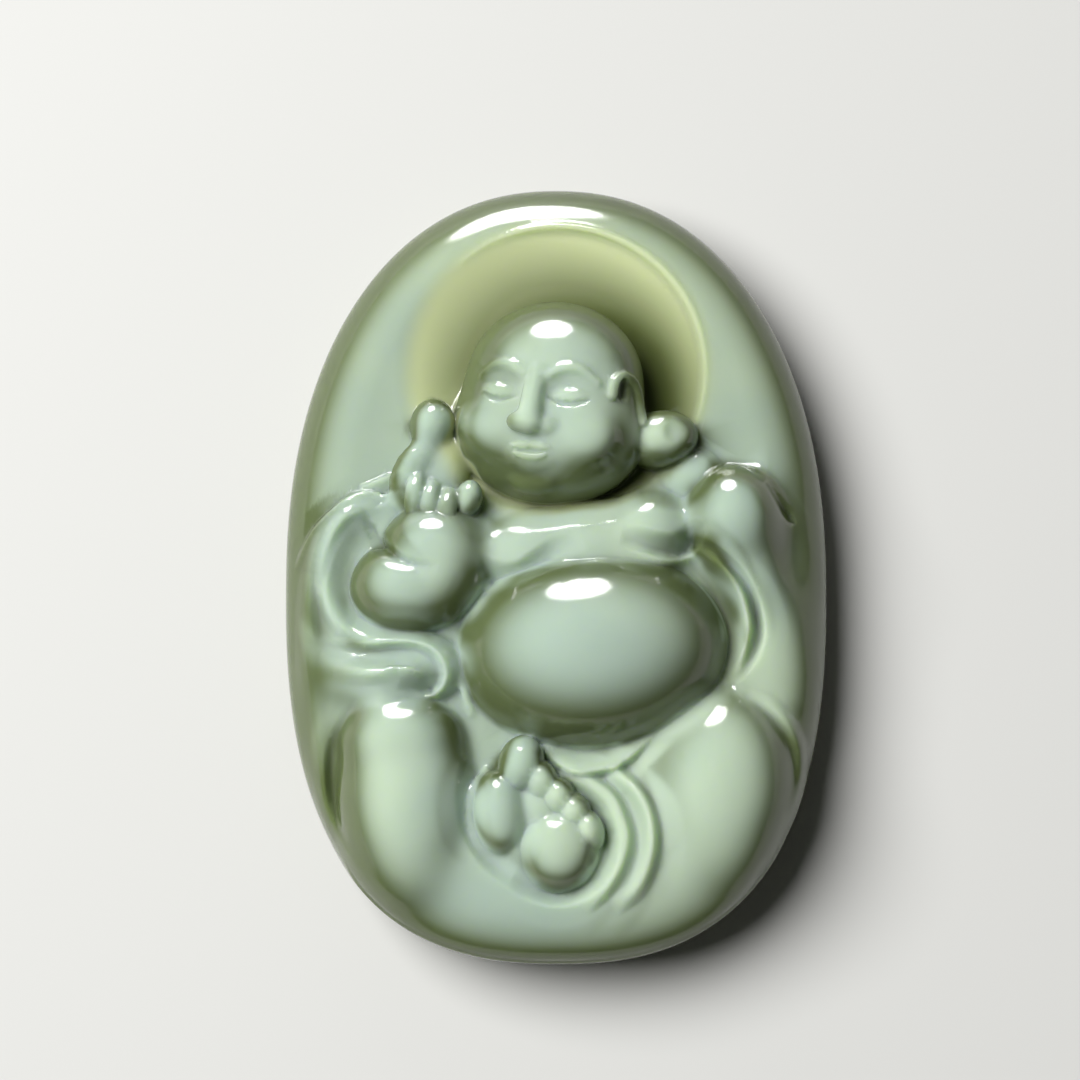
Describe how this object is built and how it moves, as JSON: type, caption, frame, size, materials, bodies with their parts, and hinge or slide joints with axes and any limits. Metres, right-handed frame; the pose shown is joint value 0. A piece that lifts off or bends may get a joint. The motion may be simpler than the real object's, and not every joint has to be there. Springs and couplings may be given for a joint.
{
  "type": "carved jade plaque",
  "caption": "Oval nephrite plaque, flat behind, carved in high relief with a seated round-bellied figure in front of a round niche.",
  "frame": {"origin": "on the flat back face, at the centre of the footprint", "axes": "+Z out of the carved face, +Y towards the figure's head, +X towards the figure's left; it lies on its back"},
  "size_m": [0.0404, 0.058, 0.0155],
  "materials": {
    "jade": "polished"
  },
  "bodies": {
    "root": {"stone_slab": "jade", "belly": "jade", "head": "jade", "left_ear": "jade", "right_ear": "jade", "right_fingers": "jade", "right_thumb": "jade", "right_forearm": "jade", "right_palm": "jade", "right_upper_arm": "jade", "left_sleeve": "jade", "chest": "jade", "toes": "jade", "foot_sole": "jade", "right_sleeve_curl": "jade", "right_sleeve_fold_inner": "jade", "right_sleeve_fold_outer": "jade", "robe_edge": "jade", "right_knee": "jade", "left_knee": "jade", "waist_fold": "jade", "hem_fold_inner": "jade", "hem_fold_outer": "jade", "lap": "jade", "niche_bead": "jade"}
  },
  "joints": []
}
